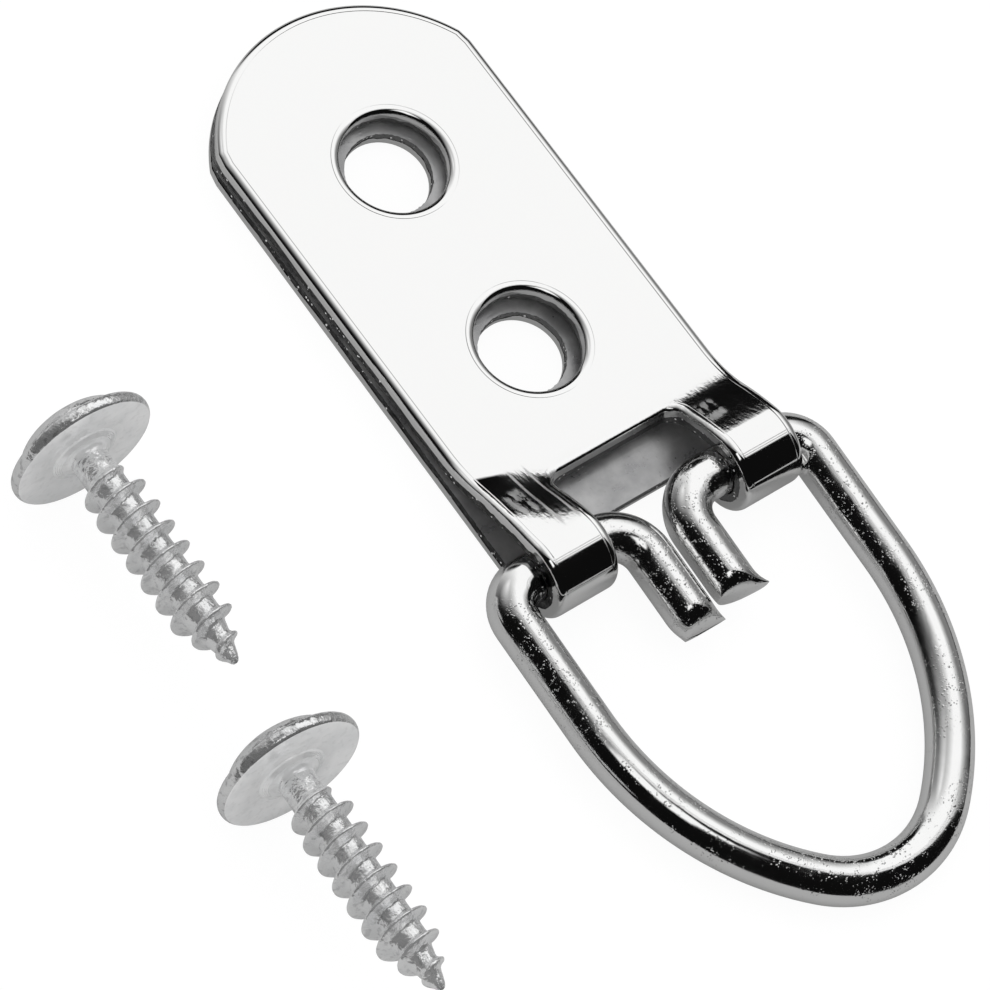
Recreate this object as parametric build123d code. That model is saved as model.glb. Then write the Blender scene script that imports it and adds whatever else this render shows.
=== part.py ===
# Ring picture hanger: a folded steel strap, the wire ring that swings in it, and its two screws.
# Millimetres. The strap lies on its back with its face towards +Z and the ring towards -Y.
# The origin is on the strap's back face, halfway between the two screw holes.
# Reaches are measured from that point along Y, up to the rounded end or down to the ring.

import os
from math import acos, asin, atan2, ceil, cos, degrees, pi, radians, sin, sqrt, tan

from build123d import *

# Screws: round washer head, coarse thread, sharp point
screw_length = 15.9
thread_d = 3.8
core_d = 2.3
pitch = 1.5
crest_share = 0.1
ridge_share = 0.6
neck_length = 2.35
point_length = 3.5
point_d = 0.3
head_overlap = 2.4
head_height = 2.5
rim_height = 0.45
shoulder_share = 0.77
shoulder_height = 0.8
under_fillet = 0.5
recess_d = 3.6
recess_depth = 1.7
recess_slot = 0.85
recess_tip_d = 1.0

# Strap: one blank, folded back on itself round the ring's wire
strap_width = 19.05
sheet = 1.22
edge_roll = 0.4
hole_spacing = 14.0
screw_clearance = 1.7
hole_step = 1.4
end_margin = 11.3
end_overwidth = 1.075
leaf_gap = 0.15
leaf_spread = 1.0
hole_to_axis = 12.75
bend_radius = 7.0
ramp_radius = 16.0
crown_slope = 22.0
window_rise = 4.55
notch_rise = 1.45
window_clearance = 0.275
window_corner = 1.0

# Ring: one wire, its ends turned through the strap's two loops and back into the ring
wire_d = 3.0
wire_clearance = 0.09
leg_clearance = 0.525
slide_share = 0.76
loop_run_in = 0.375
leg_reach = 9.55
side_swell = 7.75
bow_share = 0.65
tail_gap = 0.55
tail_bend_radius = 2.5
left_tail = 8.0
right_tail = 7.4

# Where the two screws lie: beside the ring, the second one below the first, each with its point raised
upper_screw_aside = 15.7
lower_screw_aside = 16.9
upper_screw_drop = 0.6
screw_gap = 4.25
upper_screw_turn = -92.8
lower_screw_turn = -95.3
upper_screw_pitch = 6.1
lower_screw_pitch = 9.5

# How far every cut runs past the material
overrun = 5.0

# Worked out from the sizes above
half_width = strap_width / 2
end_radius = half_width + end_overwidth
end_reach = hole_spacing / 2 + end_margin
axis_reach = hole_spacing / 2 + hole_to_axis
window_reach = axis_reach - window_rise
notch_reach = axis_reach - notch_rise
back_hole_d = thread_d + screw_clearance
front_hole_d = back_hole_d + hole_step
head_d = front_hole_d + head_overlap
wire_r = wire_d / 2
bore_r = wire_r + wire_clearance
axis_y = -axis_reach
axis_z = sheet + bore_r
leg_x = half_width + leg_clearance + wire_r
ring_shift = -leg_clearance * slide_share
leg_bend_radius = leg_x + ring_shift - half_width + loop_run_in
tail_x = (wire_d + tail_gap) / 2
window_width = 2 * (tail_x + tail_bend_radius - ring_shift + window_clearance)
side_radius = leg_x + side_swell
bow_radius = leg_x * bow_share
side_drop = sqrt((side_radius - bow_radius) ** 2 - side_swell ** 2)
ring_length = leg_reach + side_drop + bow_radius
droop = degrees(asin((axis_z - wire_r) / ring_length))
far_y = end_reach + overrun
near_y = axis_y - bore_r - sheet - overrun
above_z = axis_z + bore_r + sheet + overrun
split_z = sheet + leaf_gap / 2
screw_places = {
    "screw_upper": (
        ring_shift - leg_x - wire_r - upper_screw_aside,
        -upper_screw_drop,
        upper_screw_turn,
        upper_screw_pitch,
    ),
    "screw_lower": (
        ring_shift - leg_x - wire_r - lower_screw_aside,
        -upper_screw_drop - screw_length - head_height - screw_gap,
        lower_screw_turn,
        lower_screw_pitch,
    ),
}


def side_profile():
    """The strap seen from its edge, in the YZ plane: front leaf, bend, ramp, loop and back leaf."""
    middle_r = bore_r + sheet / 2
    spread = radians(leaf_spread)
    crown = radians(crown_slope)
    front_z = 2 * sheet + leaf_gap - sheet / 2
    crown_y = axis_y + middle_r * sin(crown)
    crown_z = axis_z + middle_r * cos(crown)
    both_r = ramp_radius + bend_radius
    run = end_reach - crown_y + ramp_radius * sin(crown) + bend_radius * sin(spread)
    rise = front_z - crown_z + ramp_radius * cos(crown) + bend_radius * cos(spread)
    steepest = spread + acos((rise + run * tan(spread)) * cos(spread) / both_r)
    ramp_y = crown_y - ramp_radius * sin(crown)
    ramp_z = crown_z - ramp_radius * cos(crown)
    bend_y = ramp_y + both_r * sin(steepest)
    bend_z = ramp_z + both_r * cos(steepest)

    def line_through(side):
        """One of the sheet's two faces, a distance outside its middle, as points on lines and arcs."""
        loop_r = middle_r + side
        ramp_r = ramp_radius + side
        fold_r = bend_radius - side
        front = pi / 2 - crown / 2
        mid_ramp = (crown + steepest) / 2
        mid_fold = (spread + steepest) / 2
        reach = far_y - bend_y + fold_r * sin(spread)
        return [
            (axis_y, axis_z - loop_r),
            (axis_y - loop_r * sin(front), axis_z + loop_r * cos(front)),
            (axis_y + loop_r * sin(crown), axis_z + loop_r * cos(crown)),
            (ramp_y + ramp_r * sin(mid_ramp), ramp_z + ramp_r * cos(mid_ramp)),
            (ramp_y + ramp_r * sin(steepest), ramp_z + ramp_r * cos(steepest)),
            (bend_y - fold_r * sin(mid_fold), bend_z - fold_r * cos(mid_fold)),
            (bend_y - fold_r * sin(spread), bend_z - fold_r * cos(spread)),
            (far_y, bend_z - fold_r * cos(spread) - reach * tan(spread)),
        ]

    outer = line_through(sheet / 2)
    inner = line_through(-sheet / 2)
    edges = []
    for low, front, top, mid_ramp, ramp_end, mid_fold, fold_end, end in (outer, inner):
        edges.append(Line((far_y, low[1]), low))
        edges.append(ThreePointArc(low, front, top))
        edges.append(ThreePointArc(top, mid_ramp, ramp_end))
        edges.append(ThreePointArc(ramp_end, mid_fold, fold_end))
        edges.append(Line(fold_end, end))
    edges.append(Line((far_y, outer[0][1]), (far_y, inner[0][1])))
    edges.append(Line(outer[-1], inner[-1]))
    print(f"strap: ramp {degrees(steepest):.1f} degrees at its steepest")
    return make_face(Wire.combine(edges)[0].edges())


def plan_outline():
    """The strap seen from its face: straight sides and one round end, a little wider than they are."""
    centre_y = end_reach - end_radius
    low = centre_y - near_y
    body = Pos(0, near_y + low / 2) * Rectangle(strap_width, low)
    cap = Pos(0, centre_y) * Circle(end_radius)
    strip = Pos(0, (near_y + far_y) / 2) * Rectangle(strap_width, far_y - near_y)
    return (body + cap) & strip


def span(width, y_from, y_to, z_from, z_to):
    """A box centred on X, between two places along Y and two heights."""
    middle = Pos(0, (y_from + y_to) / 2, (z_from + z_to) / 2)
    return middle * Box(width, y_to - y_from, z_to - z_from)


def upright(diameter, y, z_from, z_to):
    """A cylinder on the strap's middle line, between two heights."""
    return Pos(0, y, (z_from + z_to) / 2) * Cylinder(diameter / 2, z_to - z_from)


def strap():
    yz_plane = Plane(origin=(-half_width - overrun, 0, 0), x_dir=(0, 1, 0), z_dir=(1, 0, 0))
    bent = extrude(yz_plane * side_profile(), strap_width + 2 * overrun)
    outline = Pos(0, 0, -overrun) * extrude(plan_outline(), above_z + overrun)
    body = bent & outline
    for y in (-hole_spacing / 2, hole_spacing / 2):
        body -= upright(front_hole_d, y, split_z, above_z)
        body -= upright(back_hole_d, y, -overrun, split_z)
    window = span(window_width, near_y, -window_reach, split_z, above_z)
    corners = window.edges().filter_by(Axis.Z).group_by(Axis.Y)[-1]
    body -= fillet(corners, window_corner)
    notch = span(window_width, near_y, -notch_reach, -overrun, above_z)
    corners = notch.edges().filter_by(Axis.Z).group_by(Axis.Y)[-1]
    body -= fillet(corners, window_corner)
    return roll_edges(body)


def roll_edges(body):
    """Round the rims of the sheet's outer side, where the punch drew the metal down."""
    middle_r = bore_r + sheet / 2
    edges = []
    for face in body.faces():
        normal = face.normal_at()
        centre = face.center()
        steep = abs(normal.X) + abs(normal.Y)
        if face.geom_type == GeomType.PLANE:
            front = normal.Z > steep and centre.Z > split_z + sheet
            back = -normal.Z > steep and centre.Z < sheet / 2
            outside = front or back
        elif abs(normal.X) > abs(normal.Y) / 2:
            outside = False
        elif centre.Y < axis_y:
            outside = face.radius > middle_r
        else:
            bend = face.radius < bend_radius and normal.Z > 0
            outside = bend or face.radius > ramp_radius
        if outside:
            edges += face.edges()
    rims = [edge for edge in edges if sum(edge.is_same(other) for other in edges) == 1]
    return body.fillet(edge_roll, rims)


def ring_path():
    """The wire's middle line, flat: X along the loops, -Y towards the bow."""
    lean = atan2(side_drop, side_swell)
    meet_x = side_radius * cos(lean) - side_swell
    meet_y = -leg_reach - side_radius * sin(lean)
    mid_x = side_radius * cos(lean / 2) - side_swell
    mid_y = -leg_reach - side_radius * sin(lean / 2)
    tail_turn = tail_bend_radius * (1 - cos(pi / 4))
    leg_turn = leg_bend_radius * (1 - cos(pi / 4))
    edges = []
    for way, tail in ((-1, left_tail), (1, right_tail)):
        tail_top = (way * tail_x, -tail_bend_radius)
        tail_mid = (way * (tail_x + tail_turn), -tail_turn)
        run_in = (way * (tail_x + tail_bend_radius), 0)
        run_out = (way * (leg_x - leg_bend_radius), 0)
        leg_mid = (way * (leg_x - leg_turn), -leg_turn)
        leg_top = (way * leg_x, -leg_bend_radius)
        leg_low = (way * leg_x, -leg_reach)
        half = [
            Line((way * tail_x, -tail), tail_top),
            ThreePointArc(tail_top, tail_mid, run_in),
            Line(run_in, run_out),
            ThreePointArc(run_out, leg_mid, leg_top),
            Line(leg_top, leg_low),
            ThreePointArc(leg_low, (way * mid_x, mid_y), (way * meet_x, meet_y)),
        ]
        edges += half
    edges.append(ThreePointArc((-meet_x, meet_y), (0, -ring_length), (meet_x, meet_y)))
    return Wire.combine(edges)[0]


def ring():
    path = ring_path()
    start = path @ 0
    section = Plane(origin=start, z_dir=path % 0) * Circle(wire_r)
    wire = sweep(section, path=path)
    expected = pi * wire_r ** 2 * path.length
    print(f"ring: volume {wire.volume:.2f}, section times length {expected:.2f}")
    return Pos(ring_shift, axis_y, axis_z) * Rot(X=droop) * wire


def thread_crests():
    """Each ridge's depth below the head and the radius of its crest, down to the point."""
    last = screw_length - pitch / 2
    crests = []
    for turn in range(ceil(screw_length / pitch)):
        depth = neck_length + pitch * ridge_share / 2 + turn * pitch
        if depth < last:
            crests.append((depth, taper(depth) * thread_d / 2))
    return crests


def taper(depth):
    """How full the thread still is at a depth below the head: 1 along the shank, 0 at the point."""
    return min(1, (screw_length - depth) / point_length)


def screw_profile():
    """Half the screw's outline, in the XZ plane, with the point down."""
    head_r = head_d / 2
    shoulder_r = head_r * shoulder_share
    core_r = core_d / 2
    tip_r = point_d / 2
    half = [(core_r + under_fillet, 0), (core_r, -under_fillet)]
    for depth, crest in thread_crests():
        full = taper(depth)
        reach = pitch * ridge_share / 2 * full
        flat = pitch * crest_share / 2 * full
        half.append((max(core_r * taper(depth - reach), tip_r), -(depth - reach)))
        half.append((crest, -(depth - flat)))
        half.append((crest, -(depth + flat)))
        half.append((max(core_r * taper(depth + reach), tip_r), -(depth + reach)))
    half.append((0, -screw_length))
    edges = [
        TangentArc((0, head_height), (shoulder_r, shoulder_height), tangent=(1, 0)),
        Line((shoulder_r, shoulder_height), (head_r, rim_height)),
        Line((head_r, rim_height), (head_r, 0)),
        Line((head_r, 0), half[0]),
        Polyline(*half),
        Line((0, -screw_length), (0, head_height)),
    ]
    return make_face(Wire.combine(edges)[0].edges())


def cross_recess():
    """The cross in the head: two slots that narrow as they go down."""
    floor_z = head_height - recess_depth
    taper_cone = Pos(0, 0, floor_z) * Cone(
        recess_tip_d / 2,
        recess_d / 2,
        recess_depth,
        align=(Align.CENTER, Align.CENTER, Align.MIN),
    )
    slot = Box(recess_d, recess_slot, recess_depth, align=(Align.CENTER, Align.CENTER, Align.MIN))
    cross = Pos(0, 0, floor_z) * (slot + Rot(Z=90) * slot)
    return cross & taper_cone


def screw(x, y, turn, raised):
    """One screw, lying on the rim of its head with its point raised by some degrees."""
    xz_face = Plane.XZ * screw_profile()
    body = revolve(xz_face, Axis.Z) - cross_recess()
    head_r = head_d / 2
    lift = head_r * cos(radians(raised)) + rim_height * sin(radians(raised))
    lying = Rot(Y=-raised - 90) * body
    return Pos(x, y, lift) * Rot(Z=turn) * lying


def main():
    os.makedirs("parts", exist_ok=True)
    nodes = {"strap": strap(), "ring": ring()}
    for name, place in screw_places.items():
        nodes[name] = screw(*place)
    for name, solid in nodes.items():
        export_step(solid, f"parts/{name}.step")
        box = solid.bounding_box()
        print(name, f"volume {solid.volume:.1f}", box.min, box.max)


main()
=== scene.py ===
# %% [markdown]
# # A ring picture hanger, made in Blender
# The real object is a strap of steel sheet, folded round a wire ring, with two wood screws beside it.
# The CAD model gives the places and sizes. This lesson gives each piece its finer shape and its finish.
# We start by loading that model as a fixed frame, so that every piece we make has a place to go to.

# %% Load the frame
from math import acos, asin, atan2, cos, degrees, pi, radians, sin, sqrt, tan

import bpy
import numpy as np
from mathutils import Matrix, Vector
from mathutils.geometry import delaunay_2d_cdt


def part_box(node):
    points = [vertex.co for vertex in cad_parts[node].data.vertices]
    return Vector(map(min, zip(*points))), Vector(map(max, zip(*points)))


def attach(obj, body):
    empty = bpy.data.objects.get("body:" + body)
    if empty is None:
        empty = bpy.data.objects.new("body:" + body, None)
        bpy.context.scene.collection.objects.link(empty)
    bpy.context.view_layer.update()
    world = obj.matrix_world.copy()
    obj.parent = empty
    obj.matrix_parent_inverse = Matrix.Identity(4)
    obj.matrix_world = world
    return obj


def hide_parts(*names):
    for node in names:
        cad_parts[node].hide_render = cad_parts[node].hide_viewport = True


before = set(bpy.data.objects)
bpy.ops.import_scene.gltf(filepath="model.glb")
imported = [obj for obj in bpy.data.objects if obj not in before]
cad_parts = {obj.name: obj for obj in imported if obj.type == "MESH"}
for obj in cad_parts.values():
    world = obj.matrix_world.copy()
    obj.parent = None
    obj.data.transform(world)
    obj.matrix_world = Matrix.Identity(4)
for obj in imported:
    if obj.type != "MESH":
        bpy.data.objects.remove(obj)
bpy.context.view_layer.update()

mm = 0.001

# %% [markdown]
# ## The camera
# A product picture like this one is taken from well away with a long lens, so that parallel edges stay
# parallel. We could place a camera by eye, but it is surer to write down where it stands and which way is
# right and up.
# Those two directions and the one behind the camera are the columns of its matrix.

# %% Set up the camera
eye = Vector((-171.566, -96.216, 306.947)) * mm
right = Vector((0.77323, -0.57852, 0.25968))
up = Vector((0.43589, 0.78232, 0.44495))
back = right.cross(up)
lens = bpy.data.cameras.new("long_lens")
lens.sensor_width = 36.0
lens.lens = 218.4
lens.clip_start = 10 * mm
lens.clip_end = 5000 * mm
camera = bpy.data.objects.new("camera", lens)
camera.matrix_world = Matrix.Translation(eye) @ Matrix((right, up, back)).transposed().to_4x4()
bpy.context.scene.collection.objects.link(camera)
bpy.context.scene.camera = camera
print("camera stands", round(eye.length / mm), "mm away")

# %% [markdown]
# ## Small helpers for node materials
# Every finish in this scene is a little network of nodes. We could wire each one by hand, but a few helpers
# keep the cells short: they add a node, fill its sockets with values or with other sockets, and mix.

# %% Node helpers
def is_socket(value):
    return isinstance(value, bpy.types.NodeSocket)


def join(value, target):
    """Fill a socket: link it when the value is another node's socket, else set it."""
    if is_socket(value):
        target.id_data.links.new(value, target)
    else:
        target.default_value = value


def fill(node, **inputs):
    """Fill a node's sockets by name."""
    for name, value in inputs.items():
        join(value, node.inputs[name.replace("_", " ")])
    return node


def add(tree, kind, **inputs):
    """Add one node to a tree of nodes and fill its sockets by name."""
    return fill(tree.nodes.new(kind), **inputs)


def combine(operation, first, second=0.0):
    """Two values through one sum, in the tree that one of them is a socket of."""
    node = add((first if is_socket(first) else second).id_data, "ShaderNodeMath")
    node.operation = operation
    join(first, node.inputs[0])
    join(second, node.inputs[1])
    return node.outputs[0]


def times(first, second):
    return combine("MULTIPLY", first, second)


def larger(first, second):
    return combine("MAXIMUM", first, second)


def mix_shaders(share, first, second):
    """Two shaders as one: share 0 gives the first, 1 the second."""
    node = add(first.id_data, "ShaderNodeMixShader")
    for value, target in zip((share, first.outputs[0], second.outputs[0]), node.inputs):
        join(value, target)
    return node


def new_finish(name):
    """An empty material with its shader and its output, ready for detail."""
    material = bpy.data.materials.new(name)
    material.use_nodes = True
    tree = material.node_tree
    return material, tree, tree.nodes["Principled BSDF"]


def finish_with(node):
    """Send a shader to the output of its material."""
    join(node.outputs[0], node.id_data.nodes["Material Output"].inputs["Surface"])


# %% [markdown]
# ## The studio
# Bright plating has no look of its own: it shows the room. A photographer therefore builds the room.
# Ours starts as plain white all round, a little brighter for the camera than for the shades. What the
# metal mirrors is then painted on a tent of its own, which comes after the floor.

# %% White world
white = (1.0, 1.0, 1.0, 1.0)
room_light = 0.9
scene = bpy.context.scene
scene.view_settings.view_transform = "Standard"
world = bpy.data.worlds.new("white_room")
scene.world = world
world.use_nodes = True
tree = world.node_tree
plain = fill(tree.nodes["Background"], Color=white, Strength=room_light)
seen = add(tree, "ShaderNodeBackground", Color=white, Strength=1.0)
rays = add(tree, "ShaderNodeLightPath").outputs
camera_or_glossy = larger(rays["Is Camera Ray"], rays["Is Glossy Ray"])
any_seen = larger(camera_or_glossy, rays["Is Transmission Ray"])
room = mix_shaders(any_seen, plain, seen)
join(room.outputs[0], tree.nodes["World Output"].inputs["Surface"])
print("world strength", plain.inputs["Strength"].default_value)

# %% [markdown]
# The floor is a pale sheet. A camera sees paper under strong light as pure white, so the floor's material
# adds a plain glow for the rays that come from the camera, and keeps the soft shadow. The metal sees the
# sheet darker, as it would in the shade of the tent's black cloth.

# %% Pale floor
def flat_sheet(name, half_x, half_y, z):
    """A rectangle lying level at a height."""
    mesh = bpy.data.meshes.new(name)
    corners = [(-half_x, -half_y, z), (half_x, -half_y, z), (half_x, half_y, z), (-half_x, half_y, z)]
    mesh.from_pydata(corners, [], [(0, 1, 2, 3)])
    sheet_object = bpy.data.objects.new(name, mesh)
    scene.collection.objects.link(sheet_object)
    return sheet_object


floor_half = 1.5
floor_drop = 0.02
glow_for_camera = 0.9
glow_for_metal = 0.6
floor = flat_sheet("floor", floor_half, floor_half, -floor_drop * mm)
paper, tree, shader = new_finish("pale_paper")
fill(shader, Base_Color=(0.82, 0.82, 0.82, 1.0), Roughness=0.9, Specular_IOR_Level=0.1)
glow = add(tree, "ShaderNodeEmission", Color=white, Strength=1.04)
shade = add(tree, "ShaderNodeEmission", Strength=0.16)
rays = add(tree, "ShaderNodeLightPath").outputs
camera_share = times(larger(rays["Is Camera Ray"], rays["Is Transmission Ray"]), glow_for_camera)
metal_share = times(rays["Is Glossy Ray"], glow_for_metal)
bright = mix_shaders(camera_share, shader, glow)
finish_with(mix_shaders(metal_share, bright, shade))
floor.data.materials.append(paper)
print("floor laid at z", floor.data.vertices[0].co.z)

# %% [markdown]
# Bright metal shows what stands round it. Photographers of small metal parts build a tent of white cloth, lit
# from outside, and hang black cloth where they want an edge to read. We paint that tent on one dome, as light
# that depends on direction: a long soft lamp over the strap, fading to both sides, a second one beyond it,
# a grey wall far to the right, black cloth on the camera's side, and one small square lamp.

# %% Tent of light and black cloth
def dome(name, radius, centre, steps=48):
    """The upper half of a sphere, as one mesh."""
    points = []
    faces = []
    for row in range(steps + 1):
        height = pi / 2 * row / steps
        for turn in range(2 * steps):
            angle = pi * turn / steps
            points.append(Vector((cos(height) * cos(angle), cos(height) * sin(angle), sin(height))) * radius)
    for row in range(steps):
        for turn in range(2 * steps):
            after = (turn + 1) % (2 * steps)
            lower = row * 2 * steps
            upper = lower + 2 * steps
            faces.append((lower + turn, lower + after, upper + after, upper + turn))
    mesh = bpy.data.meshes.new(name)
    mesh.from_pydata(points, [], faces)
    dome_object = bpy.data.objects.new(name, mesh)
    dome_object.location = centre
    scene.collection.objects.link(dome_object)
    return dome_object


def reflections_only(card):
    """A thing that only reflections see: it hides nothing and shades nothing."""
    card.visible_camera = False
    card.visible_diffuse = False
    card.visible_shadow = False
    card.visible_transmission = False
    card.visible_volume_scatter = False


def fade(source, start, end, kind="SMOOTHSTEP"):
    """0 at start, 1 at end, smooth between, whichever of the two is larger."""
    node = add(source.id_data, "ShaderNodeMapRange", Value=source, From_Min=start, From_Max=end)
    node.interpolation_type = kind
    return node.outputs["Result"]


def within(value, low, high, soft):
    """1 between two values, 0 outside them, with soft ends."""
    rise = fade(value, low - soft, low + soft)
    fall = fade(value, high + soft, high - soft)
    return times(rise, fall)


tent_radius = 220
tent_middle_y = -20
tent = dome("light_tent", tent_radius * mm, (0.0, tent_middle_y * mm, 0.0))
cloth, tree, shader = new_finish("tent_cloth")
unit = add(tree, "ShaderNodeVectorMath")
unit.operation = "NORMALIZE"
join(add(tree, "ShaderNodeTexCoord").outputs["Object"], unit.inputs[0])
where = unit.outputs[0]


def toward(direction):
    """How nearly a place on the dome lies in a direction: 1 is dead on."""
    node = add(where.id_data, "ShaderNodeVectorMath")
    node.operation = "DOT_PRODUCT"
    join(where, node.inputs[0])
    join(direction, node.inputs[1])
    return node.outputs["Value"]


def soft_lamp(direction, core, reach, power):
    """Light that is full near a direction and falls off to nothing at its reach, in degrees."""
    off = combine("ARCCOSINE", toward(Vector(direction).normalized()))
    return combine("POWER", fade(off, radians(reach), radians(core), "LINEAR"), power)


# %% [markdown]
# Each stretch of the tent is one sum of such fades. The largest light wins where lamps meet. Cloth then takes
# light away again: seams and hems, the black side towards the camera, and a gap in the wall.

# %% Paint the tent
height = toward((0.0, 0.0, 1.0))
to_right = toward((1.0, 0.0, 0.0))
to_the_back = toward((0.0, 1.0, 0.0))
past_cloth = toward((0.5, 0.866, 0.0))
black_cloth = 0.004

from_the_left = combine("POWER", fade(to_right, -0.85, 0.24, "LINEAR"), 2.0)
from_the_right = combine("POWER", fade(to_right, 1.0, 0.62, "LINEAR"), 1.5)
main_lamp = times(from_the_left, from_the_right)
back_lamp = times(soft_lamp((-0.10, 0.72, 0.69), 0, 42, 1.6), 0.9)
wall = times(fade(toward((0.62, 0.78, 0.0)), 0.10, 0.55), 0.21)
lit = larger(larger(main_lamp, back_lamp), wall)

seam = within(past_cloth, 0.035, 0.060, 0.008)
hem = within(past_cloth, 0.105, 0.130, 0.008)
folds = times(larger(seam, hem), -0.6)
lit = times(lit, combine("ADD", folds, 1.0))
lit = times(lit, fade(past_cloth, -0.03, 0.02))

gap_side = fade(toward((0.60, 0.80, 0.0)), 0.80, 0.88)
gap_in_wall = times(gap_side, fade(height, 0.50, 0.45))
lit = times(lit, combine("SUBTRACT", 1.0, gap_in_wall))
low_dark = fade(height, 0.02, 0.16)
right_end = fade(toward((0.97, -0.24, 0.0)), 0.92, 0.72)
lit = times(lit, larger(low_dark, right_end))

lamp_across = within(to_right, -0.40, 0.02, 0.06)
lamp_along = within(to_the_back, -0.31, -0.02, 0.03)
small_lamp = times(times(lamp_across, lamp_along), fade(height, 0.6, 0.7))
lit = combine("ADD", larger(lit, small_lamp), black_cloth)
finish_with(add(tree, "ShaderNodeEmission", Strength=lit))
tent.data.materials.append(cloth)
reflections_only(tent)
print("tent painted on", len(tent.data.polygons), "faces")

# %% [markdown]
# ## Building smooth metal
# Mirror-bright metal shows every fault in a mesh. Rather than trusting Blender to guess how faces blend,
# we work out the true surface direction at each corner and hand it over as custom normals.
# A small builder gathers points, faces and those directions, then makes the object.

# %% Mesh builder
class Builder:
    """Gathers points, faces and the surface direction at each face corner, in millimetres."""

    def __init__(self):
        self.points = []
        self.faces = []
        self.normals = []
        self.slots = []
        self.count = 0

    def add_points(self, points):
        start = self.count
        self.points.append(np.asarray(points, float).reshape(-1, 3))
        self.count += len(self.points[-1])
        return np.arange(start, self.count)

    def add_faces(self, faces, normals, slot=0):
        for face, corners in zip(faces, normals):
            self.faces.append([int(corner) for corner in face])
            self.normals.extend(corners)
            self.slots.append(slot)

    def facing_out(self, points):
        """Turn round each face whose corners run the wrong way for its surface direction."""
        done = 0
        for number, face in enumerate(self.faces):
            ways = self.normals[done:done + len(face)]
            first, second, third, before, last = points[[face[0], face[1], face[2], face[-2], face[-1]]]
            across = np.cross(second - first, third - second) + np.cross(last - before, first - last)
            if across @ sum(ways) < 0:
                self.faces[number] = face[::-1]
                self.normals[done:done + len(face)] = ways[::-1]
            done += len(face)

    def make(self, name, materials, place=None):
        points = np.concatenate(self.points)
        self.facing_out(points)
        normals = np.array(self.normals, float)
        if place is not None:
            turn = np.array(place.to_3x3())
            points = points @ turn.T + np.array(place.translation)
            normals = normals @ turn.T
        mesh = bpy.data.meshes.new(name)
        mesh.from_pydata((points * mm).tolist(), [], self.faces)
        for material in materials:
            mesh.materials.append(material)
        mesh.polygons.foreach_set("material_index", self.slots)
        mesh.polygons.foreach_set("use_smooth", [True] * len(self.faces))
        mesh.update()
        mesh.normals_split_custom_set(normals.tolist())
        piece = bpy.data.objects.new(name, mesh)
        scene.collection.objects.link(piece)
        print(name, "has", len(points), "points and", len(self.faces), "faces")
        return piece


def unit_rows(rows):
    """Each row scaled to length one."""
    return rows / np.maximum(np.linalg.norm(rows, axis=-1, keepdims=True), 1e-12)


def band(builder, lower, upper, lower_normals, upper_normals, slot=0):
    """A closed strip of quads between two rows of points of equal number."""
    faces = []
    normals = []
    for i in range(len(lower)):
        j = (i + 1) % len(lower)
        faces.append((lower[i], lower[j], upper[j], upper[i]))
        normals.append((lower_normals[i], lower_normals[j], upper_normals[j], upper_normals[i]))
    builder.add_faces(faces, normals, slot)


# %% [markdown]
# ## Bright nickel
# The strap and the ring are plated with bright nickel: a metal that mirrors the room, nearly without colour.
# Looked at closely it isn't perfect. It has tiny pits, rub marks, and a slight waviness from the sheet.
# Each of these becomes a bump at its own scale, and the roughness changes a little from place to place.

# %% Helpers for bumps and marks
def place_on(tree):
    """The place on the piece, in metres."""
    return add(tree, "ShaderNodeTexCoord").outputs["Object"]


def bump_from(height, strength, distance, normal=None):
    """Turn a height into a bump, on top of an earlier bump if there is one."""
    node = add(height.id_data, "ShaderNodeBump", Strength=strength, Distance=distance, Height=height)
    if normal is not None:
        join(normal, node.inputs["Normal"])
    return node.outputs["Normal"]


def noise_at(place, scale, detail=2.0, stretch=(1.0, 1.0, 1.0), turn=0.0):
    """Noise in metres: scale is how many features there are to a metre."""
    tree = place.id_data
    mapping = add(tree, "ShaderNodeMapping", Vector=place, Scale=stretch, Rotation=(0.0, 0.0, turn))
    node = add(tree, "ShaderNodeTexNoise", Scale=scale, Detail=detail, Vector=mapping.outputs[0])
    return node.outputs["Fac"]


def grains_at(place, scale, size):
    """Small round grains, 1 at their middle and 0 between them."""
    node = add(place.id_data, "ShaderNodeTexVoronoi", Scale=scale, Vector=place)
    return fade(node.outputs["Distance"], size, 0.0)


def range_of(value, low, high):
    """Spread a value from 0 to 1 over another range."""
    node = add(value.id_data, "ShaderNodeMapRange", Value=value, To_Min=low, To_Max=high)
    return node.outputs["Result"]


def blend(share, first, second):
    """A colour between two colours: share 0 gives the first, 1 the second."""
    node = add(share.id_data, "ShaderNodeMix")
    node.data_type = "RGBA"
    return fill(node, A=first, B=second, Factor=share).outputs["Result"]


def grey(brightness):
    return (brightness, brightness, brightness, 1.0)


# %% [markdown]
# The tongues of the strap were pressed over a mandrel, which rubbed the plating: the slopes carry short
# lengthwise scratches and a speckled patch. We give the strap's nickel those marks only where they belong,
# by the place on the strap, in metres.

# %% Nickel for the strap's faces
nickel_white = (0.93, 0.93, 0.925, 1.0)


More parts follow.
